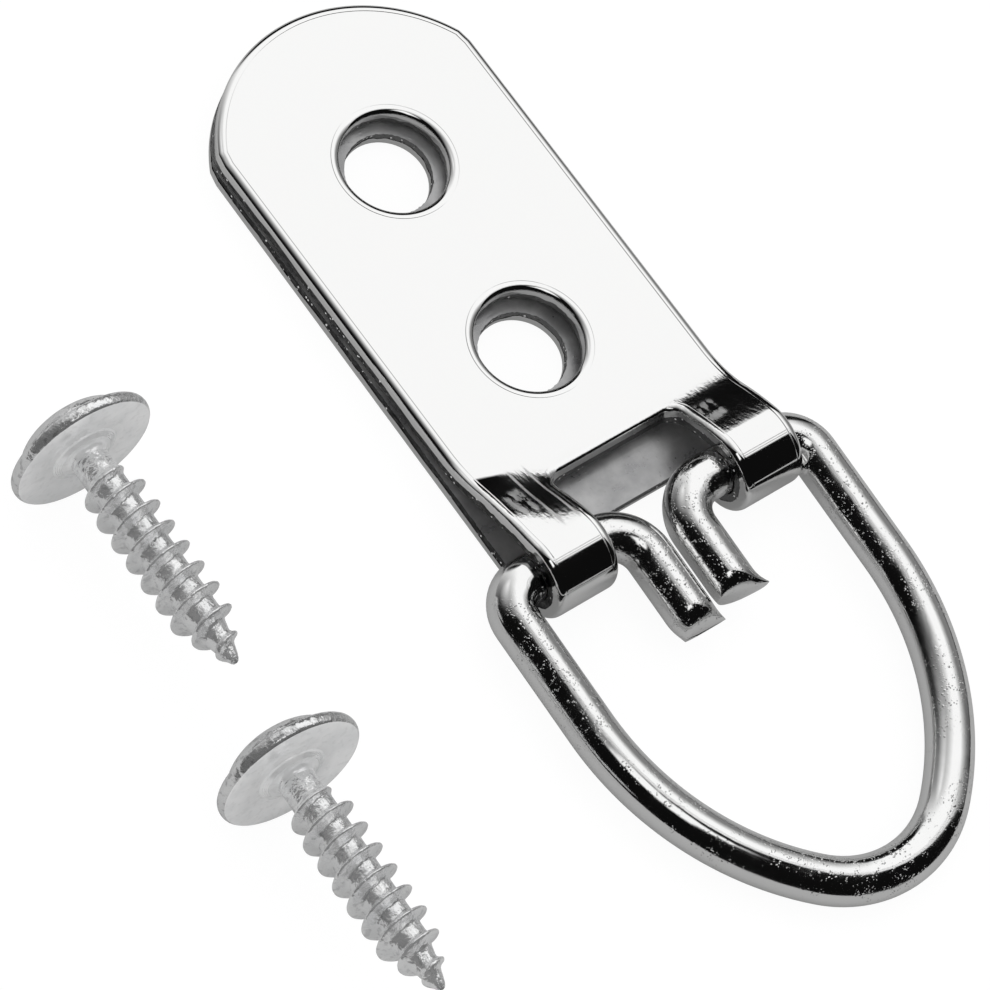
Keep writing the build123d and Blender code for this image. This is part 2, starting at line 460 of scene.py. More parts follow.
def strap_nickel():
    material, tree, shader = new_finish("nickel_face")
    place = place_on(tree)
    x, y, _ = add(tree, "ShaderNodeSeparateXYZ", Vector=place).outputs
    slope = within(y, -18.4 * mm, -13.8 * mm, 0.5 * mm)
    left_rub = times(within(x, -8.6 * mm, -7.2 * mm, 0.25 * mm),
                     within(y, -16.9 * mm, -14.9 * mm, 0.3 * mm))
    right_rub = times(within(x, 5.5 * mm, 6.9 * mm, 0.2 * mm),
                      within(y, -17.5 * mm, -15.9 * mm, 0.25 * mm))
    broken = fade(noise_at(place, 2400.0, 3.0, (1.0, 0.3, 1.0), 0.15), 0.36, 0.56)
    streaks = larger(within(x, -5.85 * mm, -5.70 * mm, 0.06 * mm),
                     within(x, -7.00 * mm, -6.82 * mm, 0.07 * mm))
    rub = larger(times(larger(left_rub, right_rub), broken), times(streaks, slope))
    clouds = fade(noise_at(place, 350.0, 4.0), 0.35, 0.75)
    rough = range_of(clouds, 0.035, 0.085)
    rough = combine("ADD", rough, times(slope, 0.05))
    rough = combine("ADD", rough, times(rub, 0.34))
    scratches = noise_at(place, 5200.0, 3.0, (1.0, 0.07, 1.0), 0.1)
    mottle = noise_at(place, 3000.0, 3.0)
    marks = times(combine("ADD", scratches, times(mottle, 0.8)), slope)
    normal = bump_from(noise_at(place, 240.0, 1.0), 0.10, 0.02 * mm)
    normal = bump_from(noise_at(place, 4200.0, 3.0), 0.35, 0.0012 * mm, normal)
    normal = bump_from(marks, 0.85, 0.012 * mm, normal)
    fill(shader, Base_Color=nickel_white, Metallic=1.0, Roughness=rough, Normal=normal)
    return material


face_nickel = strap_nickel()
print("strap finish:", face_nickel.name)

# %% [markdown]
# Inside the fold the plating bath hardly reaches. The metal there is thinly covered, dull and grey, with
# slanting rub marks from the sheet mill.

# %% Dull nickel inside the fold
def inside_nickel():
    material, tree, shader = new_finish("nickel_inside")
    place = place_on(tree)
    clouds = fade(noise_at(place, 500.0, 4.0), 0.3, 0.75)
    colour = blend(clouds, (0.32, 0.32, 0.325, 1.0), grey(0.58))
    rubs = noise_at(place, 3600.0, 3.0, (0.06, 1.0, 1.0), -0.7)
    normal = bump_from(rubs, 0.8, 0.010 * mm)
    normal = bump_from(grains_at(place, 2600.0, 0.25), 0.5, 0.02 * mm, normal)
    rough = range_of(clouds, 0.26, 0.40)
    fill(shader, Base_Color=colour, Metallic=0.7, Roughness=rough, Normal=normal)
    return material


dull_nickel = inside_nickel()
print("inside finish:", dull_nickel.name)

# %% [markdown]
# Drawn wire looks different from sheet: it has fine lines along it and small round pits, which catch the
# light as a sparkle wherever a bright reflection meets a dark one.

# %% Nickel for the wire
def wire_nickel_finish():
    material, tree, shader = new_finish("nickel_wire")
    place = place_on(tree)
    clouds = fade(noise_at(place, 420.0, 3.0), 0.3, 0.75)
    waves = noise_at(place, 420.0, 2.0)
    lines = noise_at(place, 2600.0, 2.0, (1.0, 0.25, 1.0), 0.2)
    x, y, _ = add(tree, "ShaderNodeSeparateXYZ", Vector=place).outputs
    tails = times(within(x, -7.5 * mm, 6.5 * mm, 0.6 * mm),
                  within(y, -29 * mm, -20.5 * mm, 0.8 * mm))
    patches = fade(noise_at(place, 300.0, 2.0), 0.40, 0.56)
    patches = larger(patches, times(tails, 0.7))
    few = fade(noise_at(place, 1100.0, 1.0), 0.50, 0.58)
    pits = times(times(grains_at(place, 4200.0, 0.36), few), patches)
    sparse = fade(noise_at(place, 2400.0, 1.0), 0.48, 0.62)
    sand = times(times(grains_at(place, 8000.0, 0.42), sparse), patches)
    normal = bump_from(waves, 0.6, 0.04 * mm)
    normal = bump_from(lines, 0.35, 0.008 * mm, normal)
    normal = bump_from(pits, 0.9, 0.030 * mm, normal)
    normal = bump_from(sand, 1.0, 0.024 * mm, normal)
    rough = range_of(clouds, 0.08, 0.17)
    fill(shader, Base_Color=nickel_white, Metallic=1.0, Roughness=rough, Normal=normal)
    return material


wire_nickel = wire_nickel_finish()
print("wire finish:", wire_nickel.name)

# %% [markdown]
# A punched edge is not bright all the way down. The punch first draws the sheet over, then cuts a smooth
# band, and at last the rest breaks off with a torn, grainy face. Plating keeps that grain, here as a bump.
# The torn face's colour is painted near black, as painted shade for how dark it looks in this light, and
# its grains are painted white as painted glints. Away from the strap's two long sides the torn face is
# painted a little lighter.

# %% Torn metal of a punched edge, with painted shade and painted glints
def torn_metal():
    material, tree, shader = new_finish("nickel_torn_edge")
    place = place_on(tree)
    # grains of the torn face: a real bump, and painted white glints in its colour
    grain_and_painted_glint = fade(grains_at(place, 2800.0, 0.32), 0.10, 0.40)
    grain_and_painted_glint = times(grain_and_painted_glint, fade(noise_at(place, 1500.0, 1.0), 0.44, 0.52))
    # less metal where the painted glints are, so that their painted white shows
    metal_less_at_painted_glints = combine("SUBTRACT", 1.0, times(grain_and_painted_glint, 0.75))
    dust = fade(noise_at(place, 3200.0, 3.0), 0.45, 0.80)
    x = add(tree, "ShaderNodeSeparateXYZ", Vector=place).outputs["X"]
    # painted light: the torn bands are painted lighter everywhere but along the strap's two long sides
    painted_lighter_off_sides = fade(combine("ABSOLUTE", x), 9.42 * mm, 9.30 * mm)
    # share of white over the painted near black shade: painted glints, random grey dust, and painted lighter
    # bands off the sides
    shade = larger(grain_and_painted_glint, times(dust, 0.14))
    shade = larger(shade, times(painted_lighter_off_sides, 0.22))
    normal = bump_from(noise_at(place, 4200.0, 3.0), 0.9, 0.05 * mm)
    normal = bump_from(grain_and_painted_glint, 1.0, 0.05 * mm, normal)
    # near black is painted shade for how dark the torn face looks; white is painted glint, and the lighter
    # painted bands lie between
    colour = blend(shade, grey(0.03), grey(0.95))
    fill(shader, Base_Color=colour, Metallic=metal_less_at_painted_glints, Roughness=0.24, Normal=normal)
    return material


torn_nickel = torn_metal()
print("torn edge:", torn_nickel.name)

# %% [markdown]
# ## The strap
# The real strap starts as a flat blank: a strip with round ends, four screw holes and one window. It is then
# folded back on itself. We make it the same way. All points are first given in the flat blank, as a place
# across, a place along and a height in the sheet. Then one function folds the blank.

# %% How the blank folds
half_width = 9.525
sheet = 1.22
end_reach = 18.3
hole_y = 7.0
axis_y = -19.75
axis_z = 2.81
loop_mid = 2.2
ramp_radius = 16.0
bend_radius = 7.0
crown = radians(22.0)
spread = radians(1.0)
leaf_gap = 0.15
front_z = 2 * sheet + leaf_gap - sheet / 2

crown_y = axis_y + loop_mid * sin(crown)
crown_z = axis_z + loop_mid * cos(crown)
both_r = ramp_radius + bend_radius
run = end_reach - crown_y + ramp_radius * sin(crown) + bend_radius * sin(spread)
rise = front_z - crown_z + ramp_radius * cos(crown) + bend_radius * cos(spread)
steepest = spread + acos((rise + run * tan(spread)) * cos(spread) / both_r)
bend_start = crown_y + both_r * sin(steepest) - ramp_radius * sin(crown) - bend_radius * sin(spread)

# each stretch of the blank: its length and how fast it turns
stretches = [
    ((end_reach - bend_start) / cos(spread), 0.0),
    (bend_radius * (steepest - spread), -1 / bend_radius),
    (ramp_radius * (steepest - crown), 1 / ramp_radius),
    (loop_mid * (crown + pi), 1 / loop_mid),
    (end_reach - axis_y, 0.0),
]
knots = [(0.0, end_reach, front_z, -spread, 0.0)]
for length, turn in stretches:
    start, y, z, angle, _ = knots[-1]
    knots[-1] = (start, y, z, angle, turn)
    later = angle + turn * length
    if turn:
        y -= (sin(later) - sin(angle)) / turn
        z += (cos(later) - cos(angle)) / turn
    else:
        y -= cos(angle) * length
        z -= sin(angle) * length
    knots.append((start + length, y, z, later, 0.0))
blank_length = knots[-1][0]
print("blank length", round(blank_length, 2), "mm, ends at y and z", np.round(knots[-1][1:3], 2))


def fold(along):
    """Where a place along the blank's middle goes: y, z and the angle of its outer side."""
    along = np.asarray(along, float)
    y = np.zeros_like(along)
    z = np.zeros_like(along)
    angle = np.zeros_like(along)
    for number, (start, y0, z0, angle0, turn) in enumerate(knots[:-1]):
        here = along >= start if number else np.ones(along.shape, bool)
        step = along - start
        if turn:
            there = angle0 + turn * step
            new_y = y0 - (np.sin(there) - sin(angle0)) / turn
            new_z = z0 + (np.cos(there) - cos(angle0)) / turn
        else:
            there = np.full(along.shape, angle0)
            new_y = y0 - cos(angle0) * step
            new_z = z0 - sin(angle0) * step
        y = np.where(here, new_y, y)
        z = np.where(here, new_z, z)
        angle = np.where(here, there, angle)
    return y, z, angle


tongue_side = -4.4
tongue_width = 5.125
tongue_start = -11.0
tongue_run = 8.2
tongue_lift = 0.82


def twist(across, y, along):
    """How far the left tongue stands up, since its bend starts early: the lift and its two slopes."""
    front = along < knots[3][0]
    share = np.clip((tongue_side - across) / tongue_width, 0, 1)
    grip = share ** 2 * (2 - share)
    grip_slope = -(4 * share - 3 * share ** 2) / tongue_width
    turn = pi * np.clip((tongue_start - y) / tongue_run, 0, 1)
    lift = tongue_lift * front * np.sin(turn) ** 2
    lift_slope = -tongue_lift * front * np.sin(2 * turn) * pi / tongue_run
    return lift * grip, lift * grip_slope, lift_slope * grip


def folded(across, along, height):
    """Points of the blank, folded. Height is outwards from the middle of the sheet."""
    y, z, angle = fold(along)
    lift, _, _ = twist(across, y, along)
    return np.stack([across, y - height * np.sin(angle), z + height * np.cos(angle) + lift], -1)


def folded_way(across, along, way_across, way_along, way_out):
    """Directions in the blank, folded."""
    middle_y, _, angle = fold(along)
    _, lift_x, lift_y = twist(across, middle_y, along)
    y = -way_along * np.cos(angle) - way_out * np.sin(angle)
    z = -way_along * np.sin(angle) + way_out * np.cos(angle)
    return unit_rows(np.stack([way_across - z * lift_x, y - z * lift_y, z], -1))


# %% [markdown]
# The blank's outline and its openings are closed lines of points. They are dense where the sheet will bend
# and round the curves. Each line also needs to know which way leads out of the metal.

# %% Outline, holes and window in the blank
bend_from = knots[1][0]
bend_to = knots[4][0]
close_step = 0.13
wide_step = 0.6


def along_steps(start, end, run_out=0.3):
    """Places along the blank from start to end, close together in the bends."""
    marks = [start]
    while marks[-1] < end:
        bending = bend_from - run_out < marks[-1] < bend_to + run_out
        marks.append(marks[-1] + (close_step if bending else wide_step))
    marks[-1] = end
    if len(marks) > 2 and marks[-1] - marks[-2] < 0.05:
        marks.pop(-2)
    return np.array(marks)


def arc(centre, radius, start, end, step=0.18):
    """Points on an arc in the blank, from one angle to another."""
    count = max(3, int(abs(end - start) * radius / step))
    angles = np.linspace(start, end, count)
    return np.stack([centre[0] + radius * np.cos(angles), centre[1] + radius * np.sin(angles)], -1)


def closed_line(parts):
    """Join runs of points into one closed line without doubled points."""
    points = np.concatenate(parts)
    gaps = np.linalg.norm(points - np.roll(points, 1, 0), axis=1)
    return points[gaps > 1e-4]


def rounded_corners(points, corners, reach, passes):
    """Wear down sharp corners: points near them are drawn towards their neighbours."""
    near = np.min(np.linalg.norm(points[:, None] - np.array(corners)[None], axis=2), axis=1) < reach
    points = points.copy()
    for _ in range(passes):
        middle = (np.roll(points, 1, 0) + np.roll(points, -1, 0)) / 2
        points[near] = middle[near]
    return points


end_radius = 10.6
corner_drop = end_radius - sqrt(end_radius ** 2 - half_width ** 2)
lean = asin(half_width / end_radius)
sides = along_steps(corner_drop, blank_length - corner_drop)
right_side = np.stack([np.full(len(sides), half_width), sides], -1)
left_side = np.stack([np.full(len(sides), -half_width), sides[::-1]], -1)
outline = closed_line([
    arc((0, end_radius), end_radius, -pi / 2 - lean, -pi / 2 + lean),
    right_side,
    arc((0, blank_length - end_radius), end_radius, pi / 2 - lean, pi / 2 + lean),
    left_side,
])
corners = [(side * half_width, place) for side in (-1, 1) for place in (sides[0], sides[-1])]
outline = rounded_corners(outline, corners, 0.3, 8)


def hole(along, diameter):
    points = arc((0, along), diameter / 2, 0, 2 * pi, 0.12)
    return points[:-1]


front_hole_d = 6.9
back_hole_d = 5.5
front_holes = [hole((end_reach - y) / cos(spread), front_hole_d) for y in (hole_y, -hole_y)]
back_holes = [hole(blank_length - (end_reach - y), back_hole_d) for y in (hole_y, -hole_y)]
window_half = 4.95
window_corner = 1.0


def place_along(y, part):
    """The place along the blank where its middle passes a y, on the front part or the back part."""
    marks = np.linspace(0, blank_length, 20001)
    ys, _, angles = fold(marks)
    mask = angles < pi / 2 if part == "front" else angles >= pi / 2
    return marks[mask][np.argmin(np.abs(ys[mask] - y))]


window_front_y = -15.2
window_back_y = -18.3
window_from = place_along(window_front_y, "front")
window_to = place_along(window_back_y, "back")
window_sides = along_steps(window_from + window_corner, window_to - window_corner)
inset = window_half - window_corner
window = closed_line([
    arc((-inset, window_from + window_corner), window_corner, pi, 1.5 * pi, 0.1),
    arc((inset, window_from + window_corner), window_corner, 1.5 * pi, 2 * pi, 0.1),
    np.stack([np.full(len(window_sides), window_half), window_sides], -1),
    arc((inset, window_to - window_corner), window_corner, 0, pi / 2, 0.1),
    arc((-inset, window_to - window_corner), window_corner, pi / 2, pi, 0.1),
    np.stack([np.full(len(window_sides), -window_half), window_sides[::-1]], -1),
])
print("outline", len(outline), "points, window", len(window), "points")


def way_out(points, is_hole):
    """At each point of a closed line, the direction that leads out of the metal."""
    before = unit_rows(points - np.roll(points, 1, 0))
    after = unit_rows(np.roll(points, -1, 0) - points)
    tangent = unit_rows(before + after)
    x, y = points[:, 0], points[:, 1]
    area = np.sum(x * np.roll(y, -1) - y * np.roll(x, -1)) / 2
    sign = np.sign(area) * (-1 if is_hole else 1)
    return sign * np.stack([tangent[:, 1], -tangent[:, 0]], -1)


# %% [markdown]
# Now the edge itself. Going down from the outer face, its section is a rolled-over shoulder, a smooth
# cut band, and a torn band that lies a little deeper and isn't straight. One list describes that section;
# the same list then goes round the outline, the holes and the window.

# %% Section of a punched edge
rng = np.random.default_rng(7)
roll_in = 0.46
roll_down = 0.32
cut_down = 0.40
half = sheet / 2
torn_top = half - roll_down - cut_down
torn_rows = 5
wavy_rows = (12, 13)
wavy_by = 0.11
torn_by = 0.014


def edge_rows(points, is_hole, builder):
    """Sweep the punched edge along a line. Gives the rows that meet the outer and the inner face."""
    out = way_out(points, is_hole)
    rows = [(roll_in + more, half, tilt, 1.0, 0) for more, tilt in ((0.14, 0.0), (0.09, 0.4), (0.04, 0.0))]
    for k in range(9):
        a = pi / 2 * k / 8
        inward = roll_in * (1 - sin(a))
        height = half - roll_down * (1 - cos(a))
        rows.append((inward, height, sin(a) * roll_down, cos(a) * roll_in, 0))
    rows.append((0.0, torn_top, 1.0, 0.0, 0))
    for k in range(torn_rows + 1):
        share = k / torn_rows
        rows.append((0.02 + 0.03 * share, torn_top - (torn_top + half) * share, 1.0, 0.0, 1))
    made = []
    wander = np.convolve(np.tile(rng.normal(0, 1, len(points)), 3), np.ones(5) / 5, "same")
    wander = wander[len(points):2 * len(points)]
    for number, (inward, height, sideways, upwards, slot) in enumerate(rows):
        inset_by = np.full(len(points), inward)
        level = np.full(len(points), height)
        if number in wavy_rows:
            level = level + wavy_by * wander
        if number > wavy_rows[-1]:
            inset_by = inset_by + rng.normal(0, torn_by, len(points))
        across = points[:, 0] - out[:, 0] * inset_by
        along = points[:, 1] - out[:, 1] * inset_by
        ids = builder.add_points(folded(across, along, level))
        upward = np.full(len(points), upwards)
        normals = folded_way(across, along, out[:, 0] * sideways, out[:, 1] * sideways, upward)
        made.append((ids, normals, slot, np.stack([across, along], -1)))
    for (low, low_normals, _, _), (high, high_normals, slot, _) in zip(made, made[1:]):
        band(builder, low, high, low_normals, high_normals, slot)
    return made[0], made[-1]


def fill_face(builder, lines, height, outward):
    """Fill a face of the sheet between its outline and its openings with triangles."""
    flat = [np.asarray(line[3]) for line in lines]
    ids = [line[0] for line in lines]
    grid = []
    for along in np.arange(bend_from - 0.4, bend_to + 0.4, close_step):
        for across in np.arange(-9.0, 9.01, 0.75):
            grid.append((across, along))
    leaves = np.arange(1.0, bend_from - 0.6, 2.0), np.arange(bend_to + 1, blank_length, 2.0)
    for along in np.concatenate(leaves):
        for across in np.arange(-8.0, 8.01, 2.0):
            grid.append((across, along))
    grid = np.array(grid)
    keep = inside(grid, flat[0], 0.12)
    for line in flat[1:]:
        keep &= ~inside(grid, line, -0.12)
    grid = grid[keep]
    grid_ids = builder.add_points(folded(grid[:, 0], grid[:, 1], np.full(len(grid), height)))
    places = np.concatenate(flat + [grid])
    all_ids = np.concatenate(ids + [grid_ids])
    edges = []
    start = 0
    for line in flat:
        total = len(line)
        edges += [(start + i, start + (i + 1) % total) for i in range(total)]
        start += total
    result = delaunay_2d_cdt([Vector(place) for place in places], edges, [], 0, 1e-6, True)
    corners, triangles, origins = result[0], result[2], result[3]
    index = [origin[0] for origin in origins]
    centres = np.array([[sum(corners[i][k] for i in t) / 3 for k in (0, 1)] for t in triangles])
    keep = inside(centres, flat[0], 0)
    for line in flat[1:]:
        keep &= ~inside(centres, line, 0)
    ones = np.full(len(places), outward)
    level = np.zeros(len(places))
    normals = folded_way(places[:, 0], places[:, 1], level, level, ones)
    faces = []
    corner_normals = []
    for good, triangle in zip(keep, triangles):
        if good:
            order = [index[i] for i in triangle]
            order = order if outward < 0 else order[::-1]
            faces.append([all_ids[i] for i in order])
            corner_normals.append([normals[i] for i in order])
    builder.add_faces(faces, corner_normals, 0 if outward > 0 else 2)


def inside(points, line, margin):
    """Which points lie inside a closed line, by at least a margin, or within it outside for a minus one."""
    x, y = points[:, 0][:, None], points[:, 1][:, None]
    x0, y0 = line[:, 0][None], line[:, 1][None]
    x1, y1 = np.roll(line[:, 0], -1)[None], np.roll(line[:, 1], -1)[None]
    crosses = (y0 > y) != (y1 > y)
    with np.errstate(divide="ignore", invalid="ignore"):
        at = x0 + (y - y0) * (x1 - x0) / (y1 - y0)
    held = (np.sum(crosses & (x < at), axis=1) % 2) == 1
    if margin:
        run_x, run_y = x1 - x0, y1 - y0
        step = np.clip(((x - x0) * run_x + (y - y0) * run_y) / (run_x ** 2 + run_y ** 2), 0, 1)
        gap = np.min(np.hypot(x - x0 - step * run_x, y - y0 - step * run_y), axis=1)
        held = held & (gap > margin) if margin > 0 else held | (gap < -margin)
    return held


# %% [markdown]
# With the section and the folding function at hand, the strap is made in one go. The edge runs round the
# outline and round each opening, and then both faces are filled with triangles up to those edges.

# %% Fold the strap
strap_build = Builder()
lines = [edge_rows(outline, False, strap_build)]
for opening in front_holes + back_holes + [window]:
    lines.append(edge_rows(opening, True, strap_build))
fill_face(strap_build, [line[0] for line in lines], half, 1.0)
fill_face(strap_build, [line[1] for line in lines], -half, -1.0)
strap = strap_build.make("hanger_strap", [face_nickel, torn_nickel, dull_nickel])
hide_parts("strap")
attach(strap, "strap")

# %% [markdown]
# ## The ring
# The ring is one length of drawn wire. We follow its middle line like a bending machine does: feed so much
# wire straight, then bend it at a radius through an angle, and so on. Then a round section goes along it.

# %% The wire's middle line
wire_r = 1.5
leg_x = 11.55
leg_bend = 2.0
leg_reach = 9.55
side_swell = 7.75
bow_share = 0.65
side_radius = leg_x + side_swell
bow_radius = leg_x * bow_share
side_drop = sqrt((side_radius - bow_radius) ** 2 - side_swell ** 2)
side_turn = atan2(side_drop, side_swell)
tail_x = 1.775
tail_bend = 2.5
left_tail, right_tail = 8.0, 7.4
run_between = leg_x - leg_bend - tail_x - tail_bend
cut_reach = 1.6
cut_steps = 16
fine_step = 0.2
coarse_step = 0.32
tight_radius = 5
feeds = [
    (cut_reach, 0), (left_tail - tail_bend - cut_reach, 0), (tail_bend * pi / 2, tail_bend), (run_between, 0),
    (leg_bend * pi / 2, leg_bend), (leg_reach - leg_bend, 0), (side_radius * side_turn, side_radius),
    (bow_radius * (pi - 2 * side_turn), bow_radius), (side_radius * side_turn, side_radius),
    (leg_reach - leg_bend, 0), (leg_bend * pi / 2, leg_bend), (run_between, 0),
    (tail_bend * pi / 2, tail_bend), (right_tail - tail_bend - cut_reach, 0), (cut_reach, 0),
]


def wire_line(start, heading, feeds):
    """Points and directions of the middle line, fed and bent step by step."""
    x, y = start
    points = [(x, y)]
    headings = [heading]
    for length, radius in feeds:
        steps = max(2, int(length / (fine_step if 0 < radius < tight_radius else coarse_step)))
        shares = np.arange(1, steps + 1) / steps
        if length == cut_reach:
            quarter = np.arange(1, cut_steps + 1) / cut_steps * pi / 2
            shares = 1 - np.cos(quarter) if len(points) == 1 else np.sin(quarter)
        for share in shares:
            done = length * share
            if radius:
                later = heading + done / radius
                ahead, aside = sin(later) - sin(heading), cos(later) - cos(heading)
                points.append((x + radius * ahead, y - radius * aside))
                headings.append(later)
            else:
                points.append((x + cos(heading) * done, y + sin(heading) * done))
                headings.append(heading)
        x, y = points[-1]
        heading = headings[-1]
    return np.array(points), np.array(headings)


middle, headings = wire_line((-tail_x, -left_tail), pi / 2, feeds)
print("wire", round(float(np.sum(np.linalg.norm(np.diff(middle, axis=0), axis=1))), 1), "mm long")

# %% [markdown]
# The wire's ends were cut with shears. The blade draws the upper side down in a round shoulder before the
# wire breaks, and leaves a small horn at one side. So near each end the round section changes: its top
# sinks along a quarter circle to a ridge, and its right side runs out into the horn. The left end was cut
# further down than the right one, so each has its own numbers.

# %% Sweep the ring
left_cut = {"ridge": -0.80, "horn": 0.42, "tuck": 0.50}
right_cut = {"ridge": 0.05, "horn": 0.42, "tuck": 0.10}


def sheared(x, z, near, ridge, horn, tuck):
    """A section point near a cut: x to the right, z up, near is 0 away from the cut and 1 at it.

    The top sinks to the height of ridge, horn is how far the right side runs out, and tuck is how far the
    left side is drawn in.
    """
    ridge_z = ridge + 0.35 * (x / wire_r) ** 2
    fall = 1 - np.sqrt(np.maximum(0.0, 1 - near ** 2))
    z_new = np.where(z > ridge_z, z + (ridge_z - z) * fall, z)
    side = np.exp(-((x - wire_r) / 0.40) ** 2)
    x_new = x + horn * near ** 3 * side + tuck * near ** 2 * np.exp(-((x + wire_r) / 0.6) ** 2)
    return x_new, z_new + 0.3 * horn * near ** 3 * side


def sweep_wire(middle, headings, radius, around):
    """A round wire along a flat line, with both ends sheared. Gives its rows of points."""
    angles = np.linspace(0, 2 * pi, around, endpoint=False)
    travelled = np.concatenate([[0], np.cumsum(np.linalg.norm(np.diff(middle, axis=0), axis=1))])
    rows = []
    for (x, y), heading, done in zip(middle, headings, travelled):
        left_end = max(0.0, 1 - done / cut_reach)
        right_end = max(0.0, 1 - (travelled[-1] - done) / cut_reach)
        outward = np.array([-sin(heading), cos(heading), 0.0])
        across = radius * np.cos(angles)
        height = radius * np.sin(angles)
        lean = np.zeros(around)
        if left_end:
            across, height = sheared(-across, height, left_end, **left_cut)
            lean = (0.05 * (wire_r - across) - 0.10 * height) * left_end ** 2
            across = -across
        if right_end:
            across, height = sheared(across, height, right_end, **right_cut)
            lean = 0.20 * (across - wire_r) * right_end ** 2
        forward = np.array([cos(heading), sin(heading), 0.0])
        centre = np.array([x, y, 0.0])
        rows.append(centre + across[:, None] * outward + height[:, None] * np.array([0, 0, 1.0])
                    + lean[:, None] * forward)
    return np.array(rows)


def tube_normals(rows):
    """Surface directions of a closed tube's rows of points."""
    along = np.gradient(rows, axis=0)
    around = np.roll(rows, -1, axis=1) - np.roll(rows, 1, axis=1)
    ways = unit_rows(np.cross(around, along))
    outward = rows - rows.mean(axis=1, keepdims=True)
    return np.where(np.sum(ways * outward) < 0, -ways, ways)


def end_face(builder, ids, rim, way):
    """Close a cut end: a narrow rim, then rings in to the middle, which stands out a little."""
    centre = rim.mean(axis=0)
    flat = np.linalg.svd(rim - centre)[2][2]
    flat = flat if flat @ way > 0 else -flat
    facing = [flat] * len(ids)
    previous = ids
    for share in (0.97, 0.65, 0.3):
        current = builder.add_points(centre + (rim - centre) * share + flat * 0.03 * (1 - share))
        band(builder, previous, current, facing, facing)
        previous = current
    builder.add_faces([list(previous)], [facing])


tube = sweep_wire(middle, headings, wire_r, 64)
ways = tube_normals(tube)
ring_build = Builder()
tube_ids = [ring_build.add_points(row) for row in tube]
for i in range(len(tube) - 1):
    band(ring_build, tube_ids[i], tube_ids[i + 1], ways[i], ways[i + 1])
end_face(ring_build, tube_ids[0], tube[0], np.array([0.0, -1.0, 0.0]))
end_face(ring_build, tube_ids[-1], tube[-1], np.array([0.0, -1.0, 0.0]))
ring_length = leg_reach + side_drop + bow_radius
ring_shift = -0.399
droop = asin((axis_z - wire_r) / ring_length)
hang = Matrix.Translation((ring_shift, axis_y, axis_z)) @ Matrix.Rotation(droop, 4, "X")
ring = ring_build.make("hanger_ring", [wire_nickel], hang)
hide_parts("ring")
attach(ring, "ring")
print("ring droops", round(degrees(droop), 2), "degrees to the floor")

# %% [markdown]
# ## The screws
# Each screw has a wide washer head, rolled coarse threads and a sharp point. The zinc on it comes out in
# three ways: flat and milky under the head, dented and shiny on the head and its rim, and wrinkled on the
# thread. One recipe makes all three, with other numbers.

# %% Zinc for the screws
def zinc_plate(name, metallic, dents, wrinkle, stain):
    """Zinc plating: dents and wrinkle say how uneven it is, in mm, and stain how dark its spots are."""
    material, tree, shader = new_finish(name)
    place = place_on(tree)
    clouds = fade(noise_at(place, 700.0, 4.0), 0.3, 0.75)
    colour = blend(clouds, (0.86, 0.865, 0.87, 1.0), grey(0.97))
    spots = fade(noise_at(place, 2600.0, 3.0), 0.54, 0.66)
    colour = blend(times(spots, stain), colour, grey(0.22))
    normal = bump_from(noise_at(place, 800.0, 2.0), 0.7, dents * mm)
    normal = bump_from(noise_at(place, 2600.0, 2.0), 0.9, wrinkle * mm, normal)
    rough = range_of(clouds, 0.15, 0.26)
    fill(shader, Base_Color=colour, Metallic=metallic, Roughness=rough, Normal=normal)
    return material


flat_zinc = zinc_plate("zinc_underside", metallic=0.36, dents=0.030, wrinkle=0.006, stain=0.10)
rim_zinc = zinc_plate("zinc_head", metallic=0.85, dents=0.05, wrinkle=0.08, stain=0.4)
rolled_zinc = zinc_plate("zinc_thread", metallic=0.74, dents=0.06, wrinkle=0.11, stain=0.25)
print("zinc:", flat_zinc.name, rim_zinc.name, rolled_zinc.name)

# %% [markdown]
# A real thread is a helix, so we build it as one long strip that winds round the shank: each turn's lower
# edge is the next turn's upper edge. Stacked rings would be simpler, but their crests don't climb.

# %% Thread, shank and point
screw_length = 15.9
core_r = 1.15
crest_r = 1.9
pitch = 1.55
point_length = 3.5
neck_length = 2.35
fillet = 0.55
head_r = 4.65
head_height = 2.5


def ease(value):
    value = np.clip(value, 0, 1)
    return value * value * (3 - 2 * value)


def shank_points(around=64):
    """Rows of points that follow the helix, from under the head to the point."""
    # the thread's own section: the share of a pitch, and how high it stands there
    section = [(0.0, 0.0), (0.09, 0.06), (0.16, 0.28), (0.21, 0.62), (0.255, 0.9), (0.30, 1.0), (0.35, 1.0),
               (0.395, 0.9), (0.44, 0.62), (0.49, 0.28), (0.56, 0.06), (0.66, 0.0), (0.83, 0.0)]
    turns = int(screw_length / pitch) + 3
    angles = 2 * pi * np.arange(around) / around
    depths = []
    heights = []
    for turn in range(-1, turns):
        for share, high in section:
            depths.append((turn + share) * pitch - pitch * angles / (2 * pi) + 0.35)
            heights.append(np.full(around, high))
    return np.array(depths), np.array(heights), angles, len(section)


